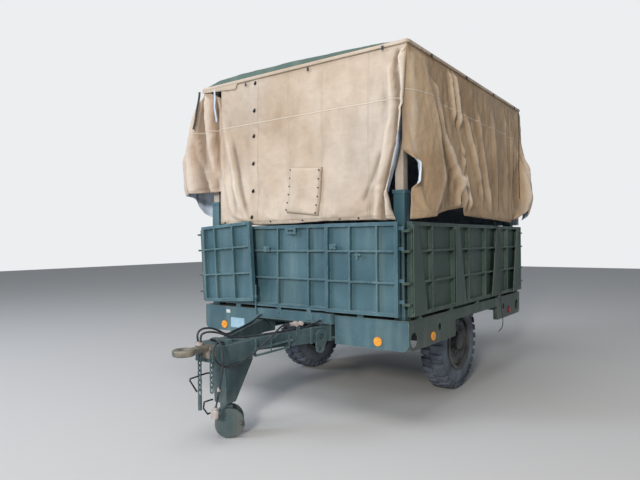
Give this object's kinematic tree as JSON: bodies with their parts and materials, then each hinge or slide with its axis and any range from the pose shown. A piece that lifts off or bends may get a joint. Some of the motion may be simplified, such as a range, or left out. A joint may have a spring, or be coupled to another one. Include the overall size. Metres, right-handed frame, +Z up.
{
  "type": "military field kitchen trailer",
  "caption": "Two-wheeled kitchen trailer with fold-down side platforms, hinged corner walls, a rising roof on corner posts and canvas curtains, parked on its front support leg.",
  "frame": {"origin": "centre of the tow eye, on the trailer's centre plane", "axes": "+X to the right seen from in front, +Y towards the rear along the trailer, +Z up; the ground is 0.75 m below the origin"},
  "size_m": [3.13, 4.618, 3.32],
  "materials": {
    "green_paint": "semi-matt dark olive green paint, chalked and scratched at edges",
    "deck_paint": "worn dark green floor paint",
    "wheel_paint": "dusty near-black green paint",
    "tyre_rubber": "matt dark grey rubber",
    "canvas_cloth": "faded tan cotton duck",
    "bare_steel": "worn forged steel with dull scale",
    "hose_rubber": "dusty black rubber hose",
    "rope_hemp": "twisted natural rope",
    "cast_alloy": "dull cast alloy",
    "amber_lens": "moulded amber reflector",
    "red_lens": "moulded red reflector"
  },
  "bodies": {
    "chassis": {"chassis_frame": "green_paint", "deck": "deck_paint", "wheel_housings": "green_paint", "skirt_right": "green_paint", "skirt_left": "green_paint", "skirt_front": "green_paint", "skirt_rear": "green_paint", "corner_posts": "green_paint", "axle": "wheel_paint", "springs": "wheel_paint", "drawbar": "green_paint", "tow_eye": "bare_steel", "hinge_forks": "green_paint", "end_wall_front": "green_paint", "end_wall_rear": "green_paint", "amber_reflectors": "amber_lens", "red_reflectors": "red_lens", "safety_chains": "bare_steel", "canvas_front": "canvas_cloth", "canvas_rear": "canvas_cloth", "canvas_left": "canvas_cloth", "canvas_right": "canvas_cloth", "drawbar_tray": "green_paint", "beam_pipe": "green_paint", "air_hose_right": "hose_rubber", "air_hose_left": "hose_rubber", "air_hose_middle": "hose_rubber", "electric_cable": "hose_rubber", "coupling_front": "cast_alloy", "coupling_right": "cast_alloy", "cable_plug": "cast_alloy", "tie_rope": "rope_hemp"},
    "wheel_left": {"tyre_left": "tyre_rubber", "rim_left": "wheel_paint", "hub_left": "wheel_paint"},
    "wheel_right": {"tyre_right": "tyre_rubber", "rim_right": "wheel_paint", "hub_right": "wheel_paint"},
    "platform_right": {"platform_right": "green_paint"},
    "platform_left": {"platform_left": "green_paint"},
    "support_leg": {"support_leg": "green_paint"},
    "caster_yoke": {"caster_yoke": "green_paint"},
    "caster_wheels": {"caster_wheels": "green_paint"},
    "roof": {"roof": "green_paint", "roof_posts": "bare_steel"},
    "corner_wall_front_right": {"corner_wall_front_right": "green_paint"},
    "corner_wall_rear_right": {"corner_wall_rear_right": "green_paint"},
    "gusset_right_1": {"gusset_right_1": "green_paint"},
    "gusset_right_2": {"gusset_right_2": "green_paint"},
    "gusset_right_3": {"gusset_right_3": "green_paint"},
    "gusset_right_4": {"gusset_right_4": "green_paint"},
    "corner_wall_front_left": {"corner_wall_front_left": "green_paint"},
    "corner_wall_rear_left": {"corner_wall_rear_left": "green_paint"},
    "gusset_left_1": {"gusset_left_1": "green_paint"},
    "gusset_left_2": {"gusset_left_2": "green_paint"},
    "gusset_left_3": {"gusset_left_3": "green_paint"},
    "gusset_left_4": {"gusset_left_4": "green_paint"}
  },
  "joints": [
    {"name": "wheel_left_spin", "type": "hinge", "parent": "chassis", "child": "wheel_left", "pos_m": [-0.928, 2.875, -0.25], "axis": [1, 0, 0], "continuous": true},
    {"name": "wheel_right_spin", "type": "hinge", "parent": "chassis", "child": "wheel_right", "pos_m": [0.928, 2.875, -0.25], "axis": [1, 0, 0], "continuous": true},
    {"name": "platform_right_fold", "type": "hinge", "parent": "chassis", "child": "platform_right", "pos_m": [1.228, 2.9, 0.179], "axis": [0, 1, 0], "range_deg": [0, 90], "deforming": ["tie_rope"]},
    {"name": "platform_left_fold", "type": "hinge", "parent": "chassis", "child": "platform_left", "pos_m": [-1.228, 2.9, 0.179], "axis": [0, -1, 0], "range_deg": [-3.5, 86.5]},
    {"name": "corner_wall_front_right_swing", "type": "hinge", "parent": "platform_right", "child": "corner_wall_front_right", "pos_m": [1.19, 1.305, 0.55], "axis": [0, 0, 1], "range_deg": [0, 90]},
    {"name": "corner_wall_rear_right_swing", "type": "hinge", "parent": "platform_right", "child": "corner_wall_rear_right", "pos_m": [1.19, 4.495, 0.55], "axis": [0, 0, -1], "range_deg": [0, 90]},
    {"name": "gusset_right_1_swing", "type": "hinge", "parent": "platform_right", "child": "gusset_right_1", "pos_m": [1.26, 1.359, 0.55], "axis": [0, 0, -1], "range_deg": [0, 90]},
    {"name": "gusset_right_2_swing", "type": "hinge", "parent": "platform_right", "child": "gusset_right_2", "pos_m": [1.26, 2.268, 0.55], "axis": [0, 0, -1], "range_deg": [0, 90]},
    {"name": "gusset_right_3_swing", "type": "hinge", "parent": "platform_right", "child": "gusset_right_3", "pos_m": [1.26, 3.552, 0.55], "axis": [0, 0, 1], "range_deg": [0, 90]},
    {"name": "gusset_right_4_swing", "type": "hinge", "parent": "platform_right", "child": "gusset_right_4", "pos_m": [1.26, 4.319, 0.55], "axis": [0, 0, 1], "range_deg": [0, 90]},
    {"name": "corner_wall_front_left_swing", "type": "hinge", "parent": "platform_left", "child": "corner_wall_front_left", "pos_m": [-1.21272, 1.305, 0.55163], "axis": [0.061, 0, -0.9981], "range_deg": [-3, 87]},
    {"name": "corner_wall_rear_left_swing", "type": "hinge", "parent": "platform_left", "child": "corner_wall_rear_left", "pos_m": [-1.21272, 4.495, 0.55163], "axis": [-0.061, 0, 0.9981], "range_deg": [0, 90]},
    {"name": "gusset_left_1_swing", "type": "hinge", "parent": "platform_left", "child": "gusset_left_1", "pos_m": [-1.28259, 1.359, 0.54735], "axis": [-0.061, 0, 0.9981], "range_deg": [0, 90]},
    {"name": "gusset_left_2_swing", "type": "hinge", "parent": "platform_left", "child": "gusset_left_2", "pos_m": [-1.28259, 2.268, 0.54735], "axis": [-0.061, 0, 0.9981], "range_deg": [0, 90]},
    {"name": "gusset_left_3_swing", "type": "hinge", "parent": "platform_left", "child": "gusset_left_3", "pos_m": [-1.28259, 3.552, 0.54735], "axis": [0.061, 0, -0.9981], "range_deg": [0, 90]},
    {"name": "gusset_left_4_swing", "type": "hinge", "parent": "platform_left", "child": "gusset_left_4", "pos_m": [-1.28259, 4.319, 0.54735], "axis": [0.061, 0, -0.9981], "range_deg": [0, 90]},
    {"name": "support_leg_fold", "type": "hinge", "parent": "chassis", "child": "support_leg", "pos_m": [0, 0.64, -0.136], "axis": [1, 0, 0], "range_deg": [0, 110]},
    {"name": "caster_swivel", "type": "hinge", "parent": "support_leg", "child": "caster_yoke", "pos_m": [0, 0.43, -0.45], "axis": [0, 0, 1], "continuous": true},
    {"name": "caster_wheels_spin", "type": "hinge", "parent": "caster_yoke", "child": "caster_wheels", "pos_m": [0.02362, 0.45446, -0.63], "axis": [-0.7193, 0.6947, 0], "continuous": true},
    {"name": "roof_lift", "type": "slide", "parent": "chassis", "child": "roof", "axis": [0, 0, 1], "range_m": [-0.92, 0], "deforming": ["canvas_front", "canvas_rear", "canvas_left", "canvas_right"]}
  ]
}
